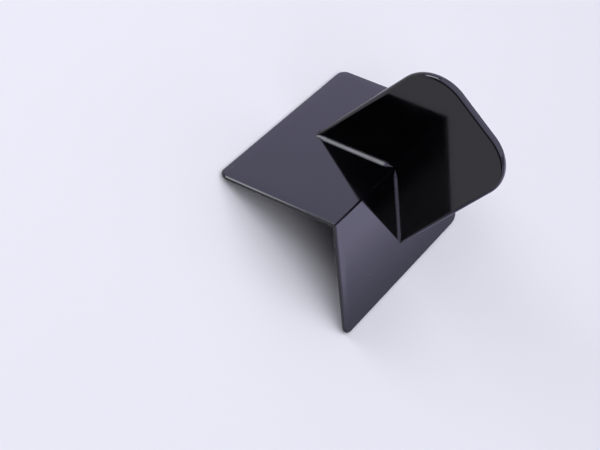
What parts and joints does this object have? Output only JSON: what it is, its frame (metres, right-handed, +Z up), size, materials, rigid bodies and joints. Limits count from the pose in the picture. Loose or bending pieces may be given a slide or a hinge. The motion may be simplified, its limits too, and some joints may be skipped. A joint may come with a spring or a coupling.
{
  "type": "fondant smoother",
  "caption": "Glossy black corner fondant smoother: two flat plates mitred along a sharp fold, a little wider than a right angle, with a rounded paddle handle cemented across the outside of the corner.",
  "frame": {"origin": "on the standing surface, under the middle of the fold, with the smoother standing like a tent on the long free edges of its plates", "axes": "+Z up through the handle, Y along the fold, X across it; the top plate lies at -X, the side plate at +X, and the front beads face -Y"},
  "size_m": [0.0902, 0.1, 0.0939],
  "materials": {
    "polished_acrylic": "polished black sheet",
    "acrylic_cement": "gloss, as it set"
  },
  "bodies": {
    "root": {"top_plate": "polished_acrylic", "side_plate": "polished_acrylic", "handle_paddle": "polished_acrylic", "corner_seam": "acrylic_cement", "front_top_bead": "acrylic_cement", "front_side_bead": "acrylic_cement", "rear_top_bead": "acrylic_cement", "rear_side_bead": "acrylic_cement"}
  },
  "joints": []
}
